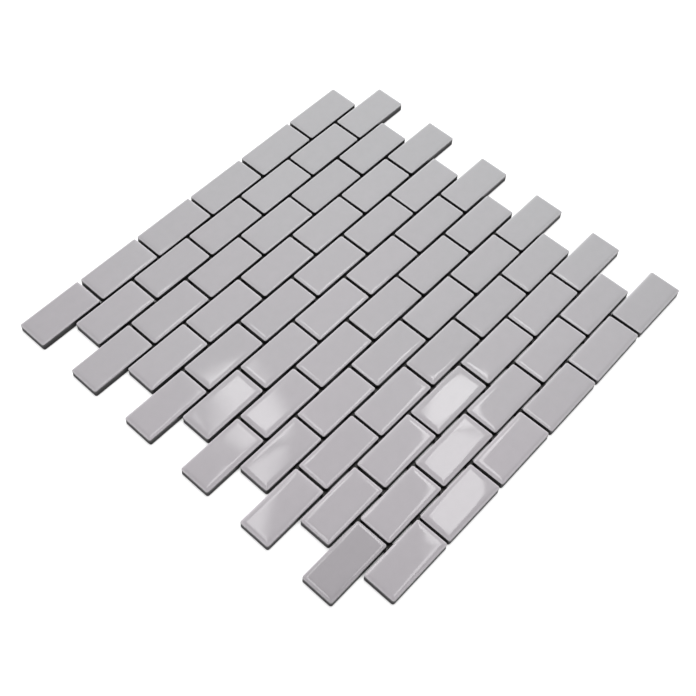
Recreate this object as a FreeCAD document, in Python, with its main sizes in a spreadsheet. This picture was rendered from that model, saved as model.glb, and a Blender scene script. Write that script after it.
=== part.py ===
"""Mosaic tile sheet: glazed brick-shaped chips in running bond, held together by dots in the joints.

X runs along the rows, Y across them towards the first row, and Z up. The sheet lies on the backs of
its chips, and the origin is at the middle of that underside.
"""
import FreeCAD, Part
import Sketcher
import os

# Driving sizes, in millimetres, and whole counts
SIZES = (
    ("tile_length", 48.0, "one chip, along its row"),
    ("tile_width", 23.0, "one chip, across its row"),
    ("tile_thickness", 6.0, "from the back to the flat field"),
    ("joint_width", 2.0, "gap between neighbouring chips, both ways"),
    ("corner_radius", 1.3, "upright corners of a chip"),
    ("arris_width", 0.5, "eased outer edge of the rim, in plan"),
    ("arris_height", 0.5, "eased outer edge of the rim, upright"),
    ("bevel_width", 1.4, "sloping face of the rim, in plan"),
    ("bevel_height", 0.6, "sloping face of the rim, upright"),
    ("crease_width", 0.6, "soft turn from the rim to the field, in plan"),
    ("crease_height", 0.15, "soft turn from the rim to the field, upright"),
    ("tiles_per_row", 6, "chips in a row"),
    ("row_count", 12, "rows in the sheet"),
    ("dot_reach", 3.6, "from the middle of a crossing to the end of each arm of a dot"),
    ("dot_height", 1.6, "how much of the joint's depth a dot fills"),
    ("dot_recess", 0.3, "underside of a dot above the backs of the chips"),
)

TILE_PITCH = "(Sizes.tile_length + Sizes.joint_width)"
ROW_PITCH = "(Sizes.tile_width + Sizes.joint_width)"
HALF_JOINT = "Sizes.joint_width / 2"

# Corners of the rim, from a chip's side inwards: how far in, and how far below the field
RIM = (
    ("0", "Sizes.crease_height + Sizes.bevel_height + Sizes.arris_height"),
    ("Sizes.arris_width", "Sizes.crease_height + Sizes.bevel_height"),
    ("Sizes.arris_width + Sizes.bevel_width", "Sizes.crease_height"),
    ("Sizes.arris_width + Sizes.bevel_width + Sizes.crease_width", "0"),
)

# A rounded upright corner is three chords: how far its ends lie in from the two sides that meet there
ROUNDING = [
    (f"Sizes.corner_radius * (1 - sin({turn} deg))", f"Sizes.corner_radius * (1 - cos({turn} deg))")
    for turn in (0, 30, 60, 90)
]


def make_sizes(doc):
    """Put the driving sizes in a spreadsheet, one named cell each."""
    sheet = doc.addObject("Spreadsheet::Sheet", "Sizes")
    for line, (alias, value, meaning) in enumerate(SIZES, start=1):
        sheet.set(f"A{line}", meaning)
        sheet.set(f"B{line}", str(value))
        sheet.setAlias(f"B{line}", alias)
    doc.recompute()
    return sheet


def origin_item(body, role):
    """Return one of a body's own origin planes or axes."""
    return next(item for item in body.Origin.OriginFeatures if item.Role == role)


def add_sketch(body, name, plane, outlines):
    """Draw closed outlines on an origin plane, each corner bound by a pair of expressions."""
    # A sketch knows its own origin as point 1 of item -1, and the ends of a line as its points 1 and 2
    origin, start, end = (-1, 1), 1, 2
    sketch = body.newObject("Sketcher::SketchObject", name)
    sketch.AttachmentSupport = [(origin_item(body, plane), "")]
    sketch.MapMode = "FlatFace"
    for outline in outlines:
        first = sketch.GeometryCount
        count = len(outline)
        places = [[float(sketch.evalExpression(place)) for place in corner] for corner in outline]
        for i in range(count):
            ends = (FreeCAD.Vector(*places[i]), FreeCAD.Vector(*places[(i + 1) % count]))
            sketch.addGeometry(Part.LineSegment(*ends), False)
        for i in range(count):
            joined = (first + i, end, first + (i + 1) % count, start)
            sketch.addConstraint(Sketcher.Constraint("Coincident", *joined))
            corner = (first + i, start)
            for kind, value, place in zip(("DistanceX", "DistanceY"), places[i], outline[i]):
                bound = Sketcher.Constraint(kind, *origin, *corner, value)
                number = sketch.addConstraint(bound)
                sketch.setExpression(f"Constraints[{number}]", place)
    return sketch


def mirrored(right):
    """Close an outline that is given by its right half, from the bottom up, as its left is the same."""
    return right + [(f"-({x})", y) for x, y in right[::-1]]


def add_block(body):
    """The chip's outline with its rounded corners, padded to its full thickness."""
    half_length = "Sizes.tile_length / 2"
    half_width = "Sizes.tile_width / 2"
    top = [(f"{half_length} - {x}", f"{half_width} - {y}") for x, y in ROUNDING[::-1]]
    bottom = [(x, f"-({y})") for x, y in top[::-1]]
    pad = body.newObject("PartDesign::Pad", "Block")
    pad.Profile = add_sketch(body, "PlanOutline", "XY_Plane", [mirrored(bottom + top)])
    pad.setExpression("Length", "Sizes.tile_thickness")


def add_rims(body, name, plane, half_span):
    """Cut the rim along two opposite sides of the chip; the rims of all four sides meet in mitres."""
    right = [
        (f"{half_span} - ({inset})", f"Sizes.tile_thickness - ({drop})") for inset, drop in RIM
    ]
    right.append((half_span, "Sizes.tile_thickness"))
    left = [(f"-({x})", y) for x, y in right]
    pocket = body.newObject("PartDesign::Pocket", name)
    pocket.Profile = add_sketch(body, f"{name}Section", plane, [right, left])
    pocket.Type = "ThroughAll"
    pocket.SideType = "Symmetric"


def repeat_along_row(body, occurrences):
    """Repeat what the body holds along X, one chip's pitch apart."""
    body.Document.recompute()
    pattern = body.newObject("PartDesign::LinearPattern", "AlongRow")
    pattern.TransformMode = "Whole shape"
    pattern.Direction = (origin_item(body, "X_Axis"), [""])
    pattern.Mode = "Spacing"
    pattern.setExpression("Offset", TILE_PITCH)
    pattern.setExpression("Occurrences", occurrences)
    body.Tip = pattern


def make_tile_row(doc, row):
    """One row of separate chips; every second row stands half a chip's pitch further along."""
    body = doc.addObject("PartDesign::Body", f"TileRow{row + 1:02d}")
    body.Label = f"tile_row_{row + 1:02d}"
    add_block(body)
    add_rims(body, "SideRims", "YZ_Plane", "Sizes.tile_width / 2")
    add_rims(body, "EndRims", "XZ_Plane", "Sizes.tile_length / 2")
    repeat_along_row(body, "Sizes.tiles_per_row")
    shift = row % 2
    first_tile = f"({shift} + 0.5 - Sizes.tiles_per_row) * {TILE_PITCH} / 2"
    body.setExpression("Placement.Base.x", first_tile)
    body.setExpression("Placement.Base.y", f"((Sizes.row_count - 1) / 2 - {row}) * {ROW_PITCH}")
    return body


def dot_outline(middle, side):
    """A dot fills a crossing between three chips as a T, with its stem up (side 1) or down (side -1)."""
    right = [("Sizes.dot_reach", f"-{HALF_JOINT}"), ("Sizes.dot_reach", HALF_JOINT)]
    right += [(f"{HALF_JOINT} + {x}", f"{HALF_JOINT} + {y}") for x, y in ROUNDING]
    right.append((HALF_JOINT, "Sizes.dot_reach"))
    return [(f"{middle} + ({x})", f"{side} * ({y})") for x, y in mirrored(right)]


def make_joint_dots(doc, joint):
    """The dots of one bed joint, by turns at the cross joints of the row above and the row below."""
    body = doc.addObject("PartDesign::Body", f"JointDots{joint + 1:02d}")
    body.Label = f"joint_dots_{joint + 1:02d}"
    side = 1 if joint % 2 == 0 else -1
    outlines = [dot_outline("0", side), dot_outline(f"{TILE_PITCH} / 2", -side)]
    pad = body.newObject("PartDesign::Pad", "Dots")
    pad.Profile = add_sketch(body, "DotOutlines", "XY_Plane", outlines)
    pad.setExpression("Length", "Sizes.dot_height")
    repeat_along_row(body, "Sizes.tiles_per_row - 1")
    body.setExpression("Placement.Base.x", f"(1.5 - Sizes.tiles_per_row) * {TILE_PITCH} / 2")
    body.setExpression("Placement.Base.y", f"(Sizes.row_count / 2 - {joint + 1}) * {ROW_PITCH}")
    body.setExpression("Placement.Base.z", "Sizes.dot_recess")
    return body


def check(doc, parts):
    """Stop if any object failed to build or any part has no sound shape."""
    for item in doc.Objects:
        if "Invalid" in item.State or "Error" in item.State:
            raise RuntimeError(f"{item.Label} failed to build: {item.State}")
    for part in parts:
        if part.Shape.isNull() or not part.Shape.isValid():
            raise RuntimeError(f"{part.Label} has no sound shape")


def main():
    doc = FreeCAD.newDocument("MosaicTileSheet")
    sizes = make_sizes(doc)
    rows = int(sizes.row_count)
    parts = [make_tile_row(doc, row) for row in range(rows)]
    parts += [make_joint_dots(doc, joint) for joint in range(rows - 1)]
    doc.recompute()
    check(doc, parts)
    os.makedirs("parts", exist_ok=True)
    for part in parts:
        part.Shape.exportStep(f"parts/{part.Label}.step")
        print(part.Label, len(part.Shape.Solids), "solids", round(part.Shape.Volume, 1), "mm3")


main()
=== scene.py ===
"""A sheet of glazed brick mosaic: rows of pressed chips in running bond, held by soft dots in the joints.

The chips and dots are built where the frame's solids stand. Lengths are metres.
"""
import math
import random

import bpy
from bpy.props import FloatProperty, FloatVectorProperty, IntProperty, PointerProperty
from mathutils import Euler, Matrix, Vector, noise


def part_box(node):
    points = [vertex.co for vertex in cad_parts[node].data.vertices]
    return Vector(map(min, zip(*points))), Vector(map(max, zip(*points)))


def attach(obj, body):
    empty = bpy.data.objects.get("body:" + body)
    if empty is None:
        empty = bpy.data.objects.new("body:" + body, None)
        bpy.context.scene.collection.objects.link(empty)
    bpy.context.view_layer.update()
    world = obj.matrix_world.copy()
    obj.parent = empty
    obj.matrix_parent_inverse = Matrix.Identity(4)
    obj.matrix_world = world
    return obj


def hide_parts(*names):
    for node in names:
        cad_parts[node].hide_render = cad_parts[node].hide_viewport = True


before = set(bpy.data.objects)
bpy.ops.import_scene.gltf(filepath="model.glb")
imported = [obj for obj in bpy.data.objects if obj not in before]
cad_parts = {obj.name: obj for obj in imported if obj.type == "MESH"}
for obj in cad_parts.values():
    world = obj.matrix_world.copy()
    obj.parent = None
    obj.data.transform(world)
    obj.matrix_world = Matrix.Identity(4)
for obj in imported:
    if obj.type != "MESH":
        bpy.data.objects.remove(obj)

bl_info = {
    "name": "Brick Mosaic Sheet",
    "version": (1, 0, 0),
    "blender": (4, 5, 0),
    "location": "View3D > Sidebar > Mosaic",
    "description": "Glazed chips, joint dots and a plain studio for one sheet of brick mosaic",
    "category": "Object",
}

MM = 0.001
ROW_NODES = sorted(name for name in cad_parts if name.startswith("tile_row"))
DOT_NODES = sorted(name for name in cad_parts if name.startswith("joint_dots"))


def length(name, description, default):
    """A property that holds a length in metres."""
    return FloatProperty(name=name, description=description, default=default, unit="LENGTH", precision=5)


def angle(name, description, degrees):
    """A property that holds an angle, given here in degrees."""
    return FloatProperty(name=name, description=description, default=math.radians(degrees), subtype="ANGLE")


def colour(name, description, default):
    """A property that holds a linear colour."""
    return FloatVectorProperty(name=name, description=description, default=default, subtype="COLOR", size=3)


def share(name, description, default):
    """A property that holds a plain number from 0 to 1."""
    return FloatProperty(name=name, description=description, default=default, min=0, max=1, subtype="FACTOR")


class ChipSettings(bpy.types.PropertyGroup):
    """Shape of one pressed and glazed chip, and how far the chips differ."""
    corner_radius: length("Corner radius", "Upright corners of a chip", 1.3 * MM)
    hip_radius: length("Hip radius", "Softest the glaze makes the hips where two rims meet", 0.45 * MM)
    back_edge: length("Back edge", "Eased edge round the back", 0.35 * MM)
    rib_depth: length("Rib depth", "Depth of the keying grooves in the back", 0.35 * MM)
    wave_height: length("Wave height", "How far the glazed field rises and falls", 0.018 * MM)
    wave_span: length("Wave span", "Distance from one rise of the field to the next", 17 * MM)
    shift: length("Shift", "How far a chip may lie from its place", 0.14 * MM)
    turn: angle("Turn", "How far a chip may be turned in the plane of the sheet", 0.22)
    tilt: angle("Tilt", "How far a chip may lean", 0.22)
    tone: share("Tone", "How far a chip's shade may differ", 0.016)
    corner_push: length("Corner push", "How far the sheet's loose corner is pushed in", 1.5 * MM)
    rim_change: share("Rim change", "How far the width of a chip's rims may differ", 0.07)
    seed: IntProperty(name="Seed", description="Start of the chips' differences", default=7)


class GlazeSettings(bpy.types.PropertyGroup):
    """Colours and finish of the glaze and of the body under it; the dark side colours are partly painted
    shade.
    """
    warm_grey: colour("Warm grey", "Glaze, where it leans to mauve", (0.500, 0.472, 0.500))
    plain_grey: colour("Plain grey", "Glaze, where it is neutral", (0.482, 0.478, 0.492))
    thin_glaze_and_shade: colour("Thin glaze", "Glaze that has thinned out down the sides", (0.066, 0.062, 0.065))
    bare_body_and_shade: colour("Bare body", "Unglazed body, low on the sides and on the back", (0.034, 0.032, 0.034))
    glaze_gloss: share("Glaze roughness", "Roughness of the fired glaze", 0.032)
    body_gloss: share("Body roughness", "Roughness of the bare body", 0.75)


class DotSettings(bpy.types.PropertyGroup):
    """Shape and colour of the dots that hold the chips together."""
    nose: length("Nose", "Rounded end of each arm of a dot", 1.0 * MM)
    overlap: length("Overlap", "How far a dot wets into the sides of the chips", 0.28 * MM)
    crown: length("Crown", "Rise of a dot's top between the chips", 0.25 * MM)
    unevenness: length("Unevenness", "How far the dots differ in height", 0.2 * MM)
    glue: colour("Glue", "Soft grey glue of the dots", (0.056, 0.054, 0.052))
    seed: IntProperty(name="Seed", description="Start of the dots' differences", default=3)


class StudioSettings(bpy.types.PropertyGroup):
    """Camera, floor and lights."""
    eye: FloatVectorProperty(
        name="Eye", description="Place of the camera", default=(-0.3315, -0.2576, 0.6095),
        subtype="TRANSLATION", unit="LENGTH", size=3, precision=4)
    bearing: angle("Bearing", "Direction in which the camera looks, turned from the rows", 38.55)
    pitch: angle("Pitch", "How far down the camera looks", 57.30)
    roll: angle("Roll", "How far the camera is turned about its view", 4.36)
    focal_length: FloatProperty(
        name="Focal length", description="For a sensor 36 mm wide", default=57.5, unit="CAMERA")
    floor_size: length("Floor size", "Side of the square floor", 8.0)
    floor_colour: colour("Floor colour", "Pale paper floor", (0.62, 0.62, 0.62))


def smooth_step(value):
    """Rise from 0 to 1 without a corner at either end."""
    value = min(max(value, 0.0), 1.0)
    return value * value * (3.0 - 2.0 * value)


def smooth_step_between(value, start, end):
    """Rise from 0 at the start to 1 at the end."""
    return smooth_step((value - start) / (end - start))


def mix(start, end, share_of_end):
    """A value between two others."""
    return start + (end - start) * share_of_end


def solid_boxes(node):
    """Lowest and highest corner of each separate solid of a node, in order along X."""
    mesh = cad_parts[node].data
    touch = 0.1 * MM
    spans = []
    for face in mesh.polygons:
        reach = [mesh.vertices[i].co.x for i in face.vertices]
        spans.append((min(reach), max(reach)))
    merged = []
    for low, high in sorted(spans):
        if merged and low <= merged[-1][1] + touch:
            merged[-1][1] = max(merged[-1][1], high)
        else:
            merged.append([low, high])
    boxes = []
    for low, high in merged:
        inside = [v.co for v in mesh.vertices if low - touch <= v.co.x <= high + touch]
        lowest = Vector([min(co[axis] for co in inside) for axis in range(3)])
        highest = Vector([max(co[axis] for co in inside) for axis in range(3)])
        boxes.append((lowest, highest))
    return boxes


class Shell:
    """Points and faces of one closed mesh, gathered piece by piece."""

    def __init__(self):
        self.points = []
        self.faces = []
        self.tones = []
        self.depths = []

    def add_points(self, points, tone=0.0, depth=0.0):
        """Add points with one tone and one depth below the field, and return their numbers."""
        first = len(self.points)
        self.points.extend(points)
        self.tones.extend([tone] * len(points))
        self.depths.extend([depth] * len(points))
        return list(range(first, len(self.points)))

    def join_rings(self, outer, inner):
        """Faces between two closed rings of as many points."""
        count = len(outer)
        for i in range(count):
            after = (i + 1) % count
            self.faces.append((outer[i], outer[after], inner[after], inner[i]))

    def make(self, name, material):
        """Turn what was gathered into an object of the scene."""
        mesh = bpy.data.meshes.new(name)
        mesh.from_pydata(self.points, [], self.faces)
        mesh.polygons.foreach_set("use_smooth", [True] * len(mesh.polygons))
        for mark, values in (("tone", self.tones), ("depth", self.depths)):
            mesh.attributes.new(mark, "FLOAT", "POINT").data.foreach_set("value", values)
        mesh.materials.append(material)
        mesh.update()
        piece = bpy.data.objects.new(name, mesh)
        bpy.context.scene.collection.objects.link(piece)
        return piece


# How finely a chip is meshed
LENGTH_STEPS = 24
WIDTH_STEPS = 12
CORNER_STEPS = 5
RIM_STEPS = 2
BACK_EDGE_STEPS = 3

# Slope of a chip's top, from its flat field out to its side: millimetres in from the side, and degrees
RIM_SLOPES = (
    (4.3, 0), (3.7, 0.4), (3.1, 1.0), (2.6, 1.9), (2.2, 3.1), (1.9, 3.9), (1.5, 4.9), (1.2, 5.8), (0.95, 7),
    (0.7, 9.5), (0.5, 13), (0.3, 19), (0.2, 28), (0.1, 45), (0.03, 66), (0.0, 86),
)

# Rings down a chip's side, as shares of its height, and the flat that the back's edge leads to
SIDE_RINGS = (0.15, 0.35, 0.6, 0.85, 1.0)
BACK_MARGIN = 0.6 * MM

# Keying grooves of the back: how many, how sharply they rise, and where they run out at the ends
GROOVE_COUNT = 3
GROOVE_SHARPNESS = 1.4
GROOVE_RUNOUT = 2 * MM

# Where the loose corner of the sheet starts, as shares of its length
LOOSE_LENGTH = 0.1
LOOSE_WIDTH = 0.4

# Chips that differ by more than chance: row, then place in the row, both from 1, and the shade
FIRED_DARKER = {(11, 1): -0.15}

# Chips that mirror the edges of the strip lights, given one by one: degrees about X and about Y
HAND_LAID = {
    (5, 2): (0.0, 0.2), (6, 1): (0.0, 0.0), (7, 1): (0.0, -0.1), (7, 2): (0.0, 0.0), (8, 1): (0.0, 0.0),
    (9, 3): (0.15, 0.1), (9, 4): (0.0, 0.2), (10, 3): (0.0, 0.0), (11, 3): (0.0, 0.0), (12, 2): (0.0, 0.0),
}


def outline(half_length, half_width, radius):
    """Points once round a rounded rectangle, anticlockwise from the foot of its +X side."""
    core = Vector((half_length - radius, half_width - radius))
    points = []
    corners = ((1, -1), (1, 1), (-1, 1), (-1, -1))
    for side, (sx, sy) in enumerate(corners):
        start = Vector((sx * core.x, sy * core.y))
        tx, ty = corners[(side + 1) % 4]
        end = Vector((tx * core.x, ty * core.y))
        facing = math.radians(90 * side)
        out = Vector((math.cos(facing), math.sin(facing))) * radius
        steps = WIDTH_STEPS if side % 2 == 0 else LENGTH_STEPS
        points += [start.lerp(end, step / steps) + out for step in range(steps + 1)]
        for step in range(1, CORNER_STEPS):
            way = facing + math.radians(90) * step / CORNER_STEPS
            points.append(end + Vector((math.cos(way), math.sin(way))) * radius)
    return points


def bend(start, corner, end, steps):
    """Points along a quadratic curve from start to end, without its first."""
    points = []
    for step in range(1, steps + 1):
        t = step / steps
        points.append(start * (1 - t) ** 2 + corner * 2 * t * (1 - t) + end * t ** 2)
    return points


def chip_section(chip, thickness, spread):
    """Inset and height of each ring of a chip, from the edge of its flat field down to its back."""
    height = thickness
    section = [Vector((RIM_SLOPES[0][0] * MM * spread, height))]
    for (inset, slope), (next_inset, next_slope) in zip(RIM_SLOPES, RIM_SLOPES[1:]):
        width = (inset - next_inset) * MM * spread / RIM_STEPS
        for step in range(RIM_STEPS):
            steepness = mix(slope, next_slope, (step + 0.5) / RIM_STEPS)
            height -= width * math.tan(math.radians(steepness))
            section.append(Vector((section[-1].x - width, height)))
    side_top = Vector((0.0, height))
    side_foot = Vector((0.0, chip.back_edge))
    back = Vector((chip.back_edge, 0.0))
    section += [side_top.lerp(side_foot, t) for t in SIDE_RINGS]
    section += bend(side_foot, Vector((0.0, 0.0)), back, BACK_EDGE_STEPS)
    section.append(back + Vector((BACK_MARGIN, 0.0)))
    return section


def cap(shell, ring, half, place, upward, tone, depth):
    """Close a ring with a grid of points, fanned at the ring's rounded corners."""
    grid = []
    for j in range(WIDTH_STEPS + 1):
        y = mix(-half.y, half.y, j / WIDTH_STEPS)
        line = [place(mix(-half.x, half.x, i / LENGTH_STEPS), y) for i in range(LENGTH_STEPS + 1)]
        grid.append(shell.add_points(line, tone, depth))
    faces = []
    for j in range(WIDTH_STEPS):
        for i in range(LENGTH_STEPS):
            faces.append((grid[j][i], grid[j][i + 1], grid[j + 1][i + 1], grid[j + 1][i]))
    edges = (
        [row[-1] for row in grid], grid[-1][::-1], [row[0] for row in grid][::-1], grid[0],
    )
    at = 0
    for edge in edges:
        for i in range(len(edge) - 1):
            faces.append((edge[i], ring[at + i], ring[at + i + 1], edge[i + 1]))
        at += len(edge) - 1
        for step in range(CORNER_STEPS):
            faces.append((edge[-1], ring[at + step], ring[(at + step + 1) % len(ring)]))
        at += CORNER_STEPS
    shell.faces += faces if upward else [face[::-1] for face in faces]


def add_chip(shell, chip, lowest, highest, place, spread, tone, token):
    """One chip in the box of its solid, moved by its own small matrix."""
    size = highest - lowest
    middle = Vector(((lowest.x + highest.x) / 2, (lowest.y + highest.y) / 2, lowest.z))
    section = chip_section(chip, size.z, spread)
    rim = section[0].x

    def wave(x, y, inset):
        """Rise of the glaze at a place, dying out across the rim."""
        spot = Vector((x, y, 0.0)) / chip.wave_span + token
        return noise.noise(spot) * chip.wave_height * 2 * smooth_step(inset / rim)

    def put(x, y, z):
        """A place on the chip, moved to where the chip lies."""
        return place @ Vector((x, y, z)) + middle

    def radius(inset):
        """Radius of a ring's corners: the hips of the rim are mitred, and only the glaze softens them."""
        return max(chip.corner_radius - inset, chip.hip_radius)

    rings = []
    for inset, height in section:
        line = outline(size.x / 2 - inset, size.y / 2 - inset, radius(inset))
        rise = [wave(x, y, inset) if height > size.z / 2 else 0.0 for x, y in line]
        spots = [put(x, y, height + r) for (x, y), r in zip(line, rise)]
        rings.append(shell.add_points(spots, tone, size.z - height))
    for upper, lower in zip(rings, rings[1:]):
        shell.join_rings(lower, upper)

    def face_point(x, y):
        return put(x, y, size.z + wave(x, y, rim))

    def flat_half(inset):
        """Half the span of the flat inside a ring, corners left out."""
        margin = inset + radius(inset)
        return Vector((size.x / 2 - margin, size.y / 2 - margin))

    cap(shell, rings[0], flat_half(section[0].x), face_point, True, tone, 0.0)
    half = flat_half(section[-1].x)
    groove_pitch = 2 * half.y / GROOVE_COUNT

    def back_point(x, y):
        turn = math.cos(2 * math.pi * y / groove_pitch)
        ends = smooth_step((half.x - abs(x)) / GROOVE_RUNOUT)
        return put(x, y, chip.rib_depth * smooth_step(0.5 - GROOVE_SHARPNESS * turn) * ends)

    cap(shell, rings[-1], half, back_point, False, tone, size.z)


# Sockets of a Mix node that is set to colours
MIX_SHARE = 0
MIX_COLOURS = (6, 7)
MIX_RESULT = 2

# Depth below the field at which the rims get a painted highlight, and at which the sides go dark, partly as
# the glaze thins out and leaves the body bare and partly as painted shade
RIM_HIGHLIGHT_DEPTHS = (0.08 * MM, 0.22 * MM)
THINNING_AND_SHADE = (0.54 * MM, 0.84 * MM)
BARING_AND_SHADE = (1.1 * MM, 2.4 * MM)
PAINTED_RIM_HIGHLIGHT = 1.26
RAGGEDNESS = 0.15 * MM

# How far round a place counts as its nook, how open nooks are from dark to clear, and the darkest painted
# shade that the glaze gets deep in nooks such as the joints
NOOK_REACH = 5 * MM
NOOK_OPENNESS = (0.35, 0.72)
PAINTED_NOOK_SHADE = 0.08

# Range of a noise texture that most of it lies in
NOISE = (0.3, 0.7)


def new_material(name):
    """A material with only its shader and output, and the tree to add to."""
    material = bpy.data.materials.new(name)
    material.use_nodes = True
    tree = material.node_tree
    return material, tree, tree.nodes["Principled BSDF"]


def add_node(tree, kind, links=(), **values):
    """A node with values set on it or its inputs, fed from other sockets."""
    node = tree.nodes.new(kind)
    for name, value in values.items():
        if hasattr(node, name):
            setattr(node, name, value)
        else:
            node.inputs[name.replace("_", " ")].default_value = value
    for name, socket in dict(links).items():
        tree.links.new(socket, node.inputs[name])
    return node


def remap(tree, socket, low, high, start, end):
    """A value taken from one range to another, held at its ends."""
    node = tree.nodes.new("ShaderNodeMapRange")
    for name, value in (("From Min", low), ("From Max", high), ("To Min", start), ("To Max", end)):
        node.inputs[name].default_value = value
    tree.links.new(socket, node.inputs["Value"])
    return node.outputs["Result"]


def maths(tree, operation, first, second=0.0):
    """What an operation makes of two sockets or numbers."""
    node = tree.nodes.new("ShaderNodeMath")
    node.operation = operation
    for slot, value in zip(node.inputs, (first, second)):
        if isinstance(value, (int, float)):
            slot.default_value = value
        else:
            tree.links.new(value, slot)
    return node.outputs["Value"]


def reach_along(tree, vector, direction):
    """How far a vector reaches in a direction."""
    node = add_node(tree, "ShaderNodeVectorMath", {0: vector}, operation="DOT_PRODUCT")
    node.inputs[1].default_value = direction
    return node.outputs["Value"]


def scale_colour(tree, shade, level):
    """A colour, from a socket or plain, made lighter or darker by a socket."""
    node = add_node(tree, "ShaderNodeVectorMath", operation="SCALE")
    if isinstance(shade, bpy.types.NodeSocket):
        tree.links.new(shade, node.inputs[0])
    else:
        node.inputs[0].default_value = shade
    tree.links.new(level, node.inputs["Scale"])
    return node.outputs["Vector"]


def mix_colours(tree, share_of_second, first, second):
    """A colour between two, each from a socket or plain."""
    node = add_node(tree, "ShaderNodeMix", data_type="RGBA")
    tree.links.new(share_of_second, node.inputs[MIX_SHARE])
    for slot, shade in zip(MIX_COLOURS, (first, second)):
        if isinstance(shade, bpy.types.NodeSocket):
            tree.links.new(shade, node.inputs[slot])
        else:
            node.inputs[slot].default_value = (*shade, 1)
    return node.outputs[MIX_RESULT]


def glaze_material(glaze):
    """Glossy grey glaze that thins out down a chip's sides over a dark bare body, with a painted highlight
    on the rims and painted shade on the sides and deep in the joints.
    """
    material, tree, shader = new_material("stone_grey_glaze")
    place = tree.nodes.new("ShaderNodeTexCoord").outputs["Object"]
    depth = add_node(tree, "ShaderNodeAttribute", attribute_name="depth").outputs["Fac"]
    cloud = add_node(tree, "ShaderNodeTexNoise", {"Vector": place}, Scale=9.0, Detail=2.0)
    drift = reach_along(tree, place, (3.2, 2.0, 0.0))
    tint = remap(tree, maths(tree, "ADD", cloud.outputs["Fac"], drift), 0.0, 1.1, 0.0, 1.0)
    fired = mix_colours(tree, tint, glaze.warm_grey, glaze.plain_grey)
    tone = add_node(tree, "ShaderNodeAttribute", attribute_name="tone")
    mottle = add_node(tree, "ShaderNodeTexNoise", {"Vector": place}, Scale=160.0, Detail=3.0)
    mottled = remap(tree, mottle.outputs["Fac"], *NOISE, 0.985, 1.015)
    # Painted highlight: the glaze is made lighter from just below the field's edge outward over the rims
    mottled = maths(tree, "MULTIPLY", mottled, remap(tree, depth, *RIM_HIGHLIGHT_DEPTHS, 1.0, PAINTED_RIM_HIGHLIGHT))
    level = maths(tree, "MULTIPLY", maths(tree, "ADD", tone.outputs["Fac"], 1.0), mottled)
    shaded = scale_colour(tree, fired, level)
    run = add_node(tree, "ShaderNodeTexNoise", {"Vector": place}, Scale=260.0, Detail=2.0)
    ragged = maths(tree, "ADD", depth, remap(tree, run.outputs["Fac"], *NOISE, -RAGGEDNESS, RAGGEDNESS))
    # Darker down the sides: the glaze thins out over a dark bare body, and these dark colours are partly
    # painted shade
    bare_and_shade_share = remap(tree, ragged, *BARING_AND_SHADE, 0.0, 1.0)
    thinned = mix_colours(tree, remap(tree, ragged, *THINNING_AND_SHADE, 0.0, 1.0), shaded, glaze.thin_glaze_and_shade)
    bared_and_shaded = mix_colours(tree, bare_and_shade_share, thinned, glaze.bare_body_and_shade)
    # Painted shade: ambient occlusion darkens the glaze's colour deep in the joints and other nooks
    nook = add_node(tree, "ShaderNodeAmbientOcclusion", samples=8, Distance=NOOK_REACH)
    painted_nook_shade = remap(tree, nook.outputs["AO"], *NOOK_OPENNESS, PAINTED_NOOK_SHADE, 1.0)
    tree.links.new(scale_colour(tree, bared_and_shaded, painted_nook_shade), shader.inputs["Base Color"])
    gloss = remap(tree, bare_and_shade_share, 0.0, 1.0, glaze.glaze_gloss, glaze.body_gloss)
    wiped = remap(tree, mottle.outputs["Fac"], *NOISE, -0.012, 0.012)
    tree.links.new(maths(tree, "ADD", gloss, wiped), shader.inputs["Roughness"])
    grain = add_node(tree, "ShaderNodeTexNoise", {"Vector": place}, Scale=900.0, Detail=2.0)
    relief = add_node(
        tree, "ShaderNodeBump", {"Height": grain.outputs["Fac"]}, Strength=0.05, Distance=0.02 * MM)
    tree.links.new(relief.outputs["Normal"], shader.inputs["Normal"])
    return material


def glue_material(dots):
    """Soft grey glue with a slight sheen and trapped dust."""
    material, tree, shader = new_material("soft_grey_glue")
    place = tree.nodes.new("ShaderNodeTexCoord").outputs["Object"]
    dust = add_node(tree, "ShaderNodeTexNoise", {"Vector": place}, Scale=1400.0, Detail=3.0)
    level = remap(tree, dust.outputs["Fac"], *NOISE, 0.8, 1.2)
    tree.links.new(scale_colour(tree, dots.glue, level), shader.inputs["Base Color"])
    tree.links.new(remap(tree, dust.outputs["Fac"], *NOISE, 0.3, 0.5), shader.inputs["Roughness"])
    relief = add_node(
        tree, "ShaderNodeBump", {"Height": dust.outputs["Fac"]}, Strength=0.3, Distance=0.05 * MM)
    tree.links.new(relief.outputs["Normal"], shader.inputs["Normal"])
    return material


def corner_drift(chip, x, y):
    """How far the loose corner of the sheet, at high X and low Y, is pushed in towards +Y."""
    lowest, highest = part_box(ROW_NODES[-1])
    across = smooth_step_between(y, lowest.y + LOOSE_WIDTH * (highest.x - lowest.x), lowest.y)
    return chip.corner_push * smooth_step_between(x, LOOSE_LENGTH * highest.x, highest.x) * across


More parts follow.
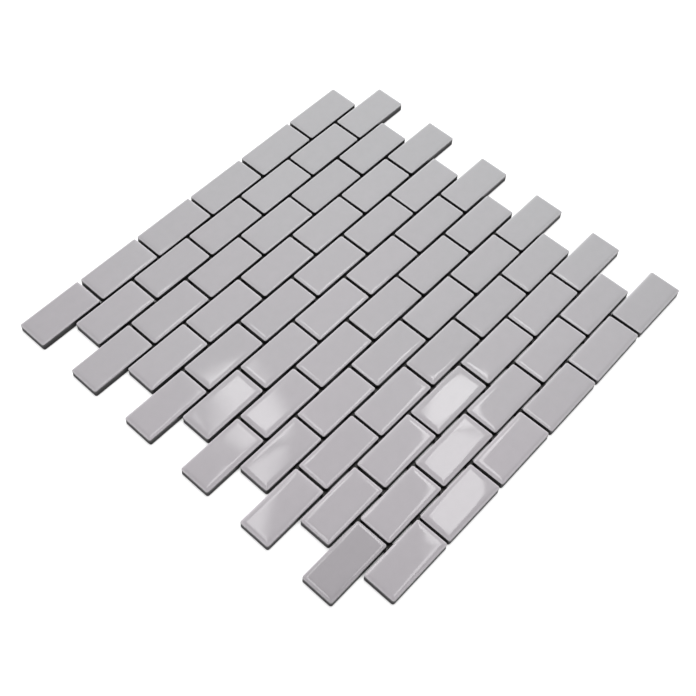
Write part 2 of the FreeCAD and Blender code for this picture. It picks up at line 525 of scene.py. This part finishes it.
class MOSAIC_OT_press_chips(bpy.types.Operator):
    """Build the rows of glazed chips in place of the frame's plain rows"""
    bl_idname = "mosaic.press_chips"
    bl_label = "Press and Glaze Chips"

    def execute(self, context):
        chip = context.scene.mosaic_chip
        material = glaze_material(context.scene.mosaic_glaze)
        chance = random.Random(chip.seed)

        def either_way(limit):
            return chance.uniform(-limit, limit)

        for row, node in enumerate(ROW_NODES, start=1):
            shell = Shell()
            for column, (lowest, highest) in enumerate(solid_boxes(node), start=1):
                lean = [either_way(chip.tilt), either_way(chip.tilt), either_way(chip.turn)]
                if (row, column) in HAND_LAID:
                    lean[:2] = [math.radians(tilt) for tilt in HAND_LAID[row, column]]
                size = highest - lowest
                lift = abs(lean[0]) * size.y / 2 + abs(lean[1]) * size.x / 2
                move = Vector((either_way(chip.shift), either_way(chip.shift), lift))
                place = Matrix.Translation(move) @ Euler(lean).to_matrix().to_4x4()
                token = Vector((chance.uniform(0, 90), chance.uniform(0, 90), chance.uniform(0, 90)))
                tone = either_way(chip.tone) + FIRED_DARKER.get((row, column), 0.0)
                spread = 1 + either_way(chip.rim_change)
                drifts = [corner_drift(chip, x, (lowest.y + highest.y) / 2) for x in (lowest.x, highest.x)]
                swing = Matrix.Rotation((drifts[1] - drifts[0]) / size.x, 4, "Z")
                pushed = Matrix.Translation((0.0, sum(drifts) / 2, 0.0)) @ swing
                add_chip(shell, chip, lowest, highest, pushed @ place, spread, tone, token)
            piece = shell.make("glazed_" + node, material)
            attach(piece, "root")
            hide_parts(node)
        return {"FINISHED"}


# How finely a dot is meshed, the height of its edge and the rise of its foot there as shares of its own
# height, and how far its top is uneven
DOT_STEPS = 6
EDGE_HEIGHT = 0.35
UNDERCUT = 0.25
BULGE = 0.15 * MM
BULGE_SPAN = 2 * MM


def dot_levels(reach, half_gap, radius, nose):
    """Places along a dot's bar, finest where its outline turns."""
    right = [0.0, 0.4 * half_gap, 0.75 * half_gap, 0.94 * half_gap, half_gap]
    right += [half_gap + radius * (1 - math.cos(math.radians(turn))) for turn in (30, 55, 90)]
    right += [reach - nose * (1 - math.sin(math.radians(turn))) for turn in (0, 40, 70, 88)]
    return [-x for x in right[:0:-1]] + right


def add_dot(shell, dots, radius, middle, half_gap, reach, low, high, stem, chance):
    """One T of glue in a crossing: its bar lies in the bed joint and its stem in the cross joint."""
    wide = half_gap + dots.overlap
    lift = chance.uniform(-dots.unevenness, dots.unevenness)
    lean = chance.uniform(-dots.unevenness, dots.unevenness)
    stem_reach = reach + chance.uniform(-1.0, 0.3) * dots.nose
    token = Vector([chance.uniform(0, 90) for _ in range(3)])
    shoulder = half_gap + radius
    top, bottom = [], []
    for x in dot_levels(reach, half_gap, radius, dots.nose):
        run = max(abs(x) - (reach - dots.nose), 0.0) / dots.nose
        taper = math.sqrt(max(1 - run * run, 0.0))
        near = -wide * taper
        if abs(x) <= half_gap:
            far = mix(shoulder, stem_reach, (1 - (x / half_gap) ** 4) ** 0.25)
        elif abs(x) < shoulder:
            far = shoulder - math.sqrt(max(radius ** 2 - (shoulder - abs(x)) ** 2, 0.0)) + dots.overlap
        else:
            far = wide * taper
        top_line, bottom_line = [], []
        for step in range(DOT_STEPS + 1):
            y = mix(near, far, step / DOT_STEPS)
            along = max(y - shoulder, 0.0) / max(stem_reach - shoulder, 1e-9)
            round_off = math.sqrt(max(1 - max(run, along) ** 2, 0.0))
            bulge = noise.noise(Vector((x, y, 0.0)) / BULGE_SPAN + token)
            crown = dots.crown * (1 - min((y / wide) ** 2, 1.0))
            level = (high - low) * mix(EDGE_HEIGHT, 1.0, round_off)
            rise = level + crown + lift + lean * x / reach + BULGE * bulge
            spot = middle + Vector((x, stem * y, 0.0))
            top_line.append(Vector((spot.x, spot.y, low + rise)))
            bottom_line.append(Vector((spot.x, spot.y, low + UNDERCUT * (high - low) * (1 - round_off))))
        top.append(top_line)
        bottom.append(bottom_line)
    upper = [shell.add_points(line) for line in top]
    lower = [shell.add_points(line) for line in bottom]
    faces = []
    for i in range(len(upper) - 1):
        for j in range(DOT_STEPS):
            faces.append((upper[i][j], upper[i + 1][j], upper[i + 1][j + 1], upper[i][j + 1]))
            faces.append((lower[i][j], lower[i][j + 1], lower[i + 1][j + 1], lower[i + 1][j]))
        faces.append((lower[i][0], lower[i + 1][0], upper[i + 1][0], upper[i][0]))
        faces.append((upper[i][-1], upper[i + 1][-1], lower[i + 1][-1], lower[i][-1]))
    for i, turn in ((0, 1), (len(upper) - 1, -1)):
        for j in range(DOT_STEPS):
            face = (lower[i][j], upper[i][j], upper[i][j + 1], lower[i][j + 1])
            faces.append(face[::turn])
    shell.faces += faces if stem > 0 else [face[::-1] for face in faces]


class MOSAIC_OT_place_dots(bpy.types.Operator):
    """Build the glue dots of every bed joint in place of the frame's plain dots"""
    bl_idname = "mosaic.place_dots"
    bl_label = "Place Joint Dots"

    def execute(self, context):
        dots = context.scene.mosaic_dots
        radius = context.scene.mosaic_chip.corner_radius
        material = glue_material(dots)
        chance = random.Random(dots.seed)
        for node in DOT_NODES:
            node_low, node_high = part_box(node)
            line = (node_low.y + node_high.y) / 2
            shell = Shell()
            for lowest, highest in solid_boxes(node):
                below, above = line - lowest.y, highest.y - line
                middle = Vector(((lowest.x + highest.x) / 2, line, 0.0))
                middle.y += corner_drift(context.scene.mosaic_chip, middle.x, line)
                reach = (highest.x - lowest.x) / 2
                stem = 1 if above > below else -1
                heights = (lowest.z, highest.z)
                add_dot(shell, dots, radius, middle, min(below, above), reach, *heights, stem, chance)
            piece = shell.make("glue_" + node, material)
            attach(piece, "root")
            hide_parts(node)
        return {"FINISHED"}


# The ceiling's strip lights, at one height: far end, near end, width, brightness, fade round the edges
STRIP_HEIGHT = 5.0
STRIP_LIGHTS = (
    ("left_strip_far", (1.90, 2.42), (1.69, 1.90), 0.33, 5.0, 0.20),
    ("left_strip_side", (1.65, 2.38), (1.49, 2.04), 0.14, 2.8, 0.14),
    ("left_strip_middle", (1.78, 1.98), (0.90, 1.46), 0.28, 4.2, 0.14),
    ("left_strip_near", (0.90, 1.46), (0.33, 0.98), 0.32, 4.2, 0.14),
    ("right_strip_far", (2.79, 1.40), (2.50, 1.18), 0.35, 5.8, 0.04),
    ("right_strip_middle", (2.50, 1.18), (1.95, 0.72), 0.36, 4.8, 0.04),
    ("right_strip_near", (1.95, 0.72), (1.38, 0.24), 0.34, 4.0, 0.04),
)

# Brightness of the room from its +X side to its -X side, of the ceiling over the view and of the back
ROOM_LEVELS = (0.19, 0.54)
CEILING_WAY = (0.485, 0.379, 0.788)
CEILING_LEVEL = 1.4
BACK_WAY = (0.72, 0.69, 0.0)
BACK_LEVEL = 2.0

# The floor lies just under the sheet, glows where it is open and keeps a shadow where the sheet touches
FLOOR_DROP = 0.02 * MM
FLOOR_GLOW = 0.74
FLOOR_OPENNESS = (0.22, 0.42)
CONTACT_REACH = 0.8 * MM
CONTACT_OPENNESS = (0.5, 0.8)
CONTACT_SHADE = 0.1


def add_area_light(name, place, aim, width, height, strength):
    """A soft rectangular light of an even brightness, pointed at a place."""
    light = bpy.data.lights.new(name, "AREA")
    light.shape = "RECTANGLE"
    light.size = width
    light.size_y = height
    light.energy = strength * math.pi * width * height
    lamp = bpy.data.objects.new(name, light)
    lamp.location = place
    lamp.rotation_euler = (Vector(place) - Vector(aim)).to_track_quat("Z", "Y").to_euler()
    lamp.visible_camera = False
    bpy.context.scene.collection.objects.link(lamp)
    return lamp


def add_strip_light(name, far, near, width, strength, fade):
    """A strip of light facing down, whose brightness falls away over a fade's width round its edges."""
    centre = (far + near) / 2
    spans = ((far - near).length + fade, width + fade)
    strip = add_area_light(name, centre, centre - Vector((0, 0, 1)), *spans, strength)
    strip.rotation_euler = (0.0, 0.0, math.atan2(far.y - near.y, far.x - near.x))
    strip.data.use_nodes = True
    tree = strip.data.node_tree
    spot = tree.nodes.new("ShaderNodeNewGeometry").outputs["Parametric"]
    place = add_node(tree, "ShaderNodeSeparateXYZ", {"Vector": spot})
    level = 1.0
    for axis, span in zip("XY", spans):
        off_centre = maths(tree, "ABSOLUTE", maths(tree, "SUBTRACT", place.outputs[axis], 0.5))
        falling = remap(tree, off_centre, 0.5, 0.5 - fade / span, 0.0, 1.0)
        falling.node.interpolation_type = "SMOOTHSTEP"
        level = maths(tree, "MULTIPLY", falling, level)
    tree.links.new(level, tree.nodes["Emission"].inputs["Strength"])


class MOSAIC_OT_set_studio(bpy.types.Operator):
    """Lay the floor and set up the lights and the camera"""
    bl_idname = "mosaic.set_studio"
    bl_label = "Set Up Studio"

    def execute(self, context):
        studio = context.scene.mosaic_studio
        self.lay_floor(studio)
        self.light_world(context.scene)
        self.hang_lights()
        self.place_camera(context.scene, studio)
        context.scene.view_settings.view_transform = "Standard"
        return {"FINISHED"}

    def lay_floor(self, studio):
        """A pale floor that stays white where it is open and keeps the sheet's shadow."""
        half = studio.floor_size / 2
        mesh = bpy.data.meshes.new("paper_floor")
        sides = ((-half, -half), (half, -half), (half, half), (-half, half))
        corners = [(x, y, -FLOOR_DROP) for x, y in sides]
        mesh.from_pydata(corners, [], [(0, 1, 2, 3)])
        floor = bpy.data.objects.new("paper_floor", mesh)
        bpy.context.scene.collection.objects.link(floor)
        material, tree, shader = new_material("white_paper")
        tree.nodes.remove(shader)
        paper = add_node(tree, "ShaderNodeBsdfDiffuse", Color=(*studio.floor_colour, 1))
        shade = add_node(tree, "ShaderNodeAmbientOcclusion", samples=8, Distance=NOOK_REACH)
        path = tree.nodes.new("ShaderNodeLightPath")
        seen = maths(tree, "MAXIMUM", path.outputs["Is Camera Ray"], path.outputs["Is Glossy Ray"])
        seen = maths(tree, "MAXIMUM", seen, path.outputs["Is Transmission Ray"])
        open_floor = remap(tree, shade.outputs["AO"], *FLOOR_OPENNESS, 0.0, FLOOR_GLOW)
        contact = add_node(tree, "ShaderNodeAmbientOcclusion", samples=8, Distance=CONTACT_REACH)
        untouched = remap(tree, contact.outputs["AO"], *CONTACT_OPENNESS, CONTACT_SHADE, 1.0)
        open_floor = maths(tree, "MULTIPLY", open_floor, untouched)
        glow = add_node(tree, "ShaderNodeEmission", {"Strength": maths(tree, "MULTIPLY", open_floor, seen)})
        both = tree.nodes.new("ShaderNodeAddShader")
        tree.links.new(paper.outputs[0], both.inputs[0])
        tree.links.new(glow.outputs[0], both.inputs[1])
        tree.links.new(both.outputs[0], tree.nodes["Material Output"].inputs["Surface"])
        mesh.materials.append(material)

    def light_world(self, scene):
        """Light from the room, the ceiling and the back, with white for the camera alone."""
        world = bpy.data.worlds.new("studio_light")
        world.use_nodes = True
        tree = world.node_tree
        sky = tree.nodes["Background"]
        way = tree.nodes.new("ShaderNodeTexCoord").outputs["Generated"]
        room = remap(tree, reach_along(tree, way, (-1.0, 0.0, 0.0)), -1.0, 1.0, *ROOM_LEVELS)
        bounce = remap(tree, reach_along(tree, way, CEILING_WAY), 0.93, 1.0, 0.0, CEILING_LEVEL)
        height = add_node(tree, "ShaderNodeSeparateXYZ", {"Vector": way})
        low = remap(tree, height.outputs["Z"], 0.64, 0.38, 0.0, 1.0)
        back = remap(tree, reach_along(tree, way, BACK_WAY), 0.3, 0.7, 0.0, BACK_LEVEL)
        level = maths(tree, "ADD", maths(tree, "ADD", room, bounce), maths(tree, "MULTIPLY", low, back))
        path = tree.nodes.new("ShaderNodeLightPath").outputs["Is Camera Ray"]
        tree.links.new(maths(tree, "MAXIMUM", level, path), sky.inputs["Strength"])
        sky.inputs["Color"].default_value = (1, 1, 1, 1)
        scene.world = world

    def hang_lights(self):
        """Two soft lights, one behind the sheet, and the strips that the glaze mirrors."""
        middle = Vector((0.0, 0.0, 0.0))
        fill = add_area_light("fill_light", Vector((0.5, 0.15, 1.3)), middle, 0.8, 0.8, 1.5)
        fill.visible_glossy = False
        top = add_area_light("top_softbox", Vector((0.24, 0.12, 1.98)), middle, 0.42, 0.42, 8.0)
        top.visible_glossy = False
        add_area_light("back_strip", Vector((1.5, 1.2, 0.16)), middle, 2.0, 0.3, 3.0)
        for name, far_end, near_end, width, strength, fade in STRIP_LIGHTS:
            far, near = Vector((*far_end, STRIP_HEIGHT)), Vector((*near_end, STRIP_HEIGHT))
            add_strip_light(name, far, near, width, strength, fade)

    def place_camera(self, scene, studio):
        """Set the camera at the photograph's angle."""
        lens = bpy.data.cameras.new("camera")
        lens.sensor_width = 36.0
        lens.lens = studio.focal_length
        camera = bpy.data.objects.new("camera", lens)
        heading = Matrix.Rotation(studio.bearing - math.radians(90), 4, "Z")
        tip = Matrix.Rotation(math.radians(90) - studio.pitch, 4, "X")
        twist = Matrix.Rotation(studio.roll, 4, "Z")
        camera.matrix_world = Matrix.Translation(studio.eye) @ heading @ tip @ twist
        scene.collection.objects.link(camera)
        scene.camera = camera


class MOSAIC_PT_panel(bpy.types.Panel):
    """Settings and steps of the mosaic sheet"""
    bl_idname = "MOSAIC_PT_panel"
    bl_label = "Mosaic Sheet"
    bl_space_type = "VIEW_3D"
    bl_region_type = "UI"
    bl_category = "Mosaic"

    def draw(self, context):
        for step in STEPS:
            self.layout.operator(step.bl_idname)
        for name, group in SETTINGS.items():
            box = self.layout.box()
            settings = getattr(context.scene, name)
            for item in group.__annotations__:
                box.prop(settings, item)


SETTINGS = {
    "mosaic_chip": ChipSettings,
    "mosaic_glaze": GlazeSettings,
    "mosaic_dots": DotSettings,
    "mosaic_studio": StudioSettings,
}
STEPS = (MOSAIC_OT_set_studio, MOSAIC_OT_press_chips, MOSAIC_OT_place_dots)
CLASSES = (*SETTINGS.values(), *STEPS, MOSAIC_PT_panel)


def register():
    for item in CLASSES:
        bpy.utils.register_class(item)
    for name, group in SETTINGS.items():
        setattr(bpy.types.Scene, name, PointerProperty(type=group))


def unregister():
    for name in SETTINGS:
        delattr(bpy.types.Scene, name)
    for item in reversed(CLASSES):
        bpy.utils.unregister_class(item)


def main():
    """Build the whole sheet and its studio."""
    register()
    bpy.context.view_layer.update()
    bpy.ops.mosaic.set_studio()
    bpy.ops.mosaic.press_chips()
    bpy.ops.mosaic.place_dots()


if __name__ == "__main__":
    main()
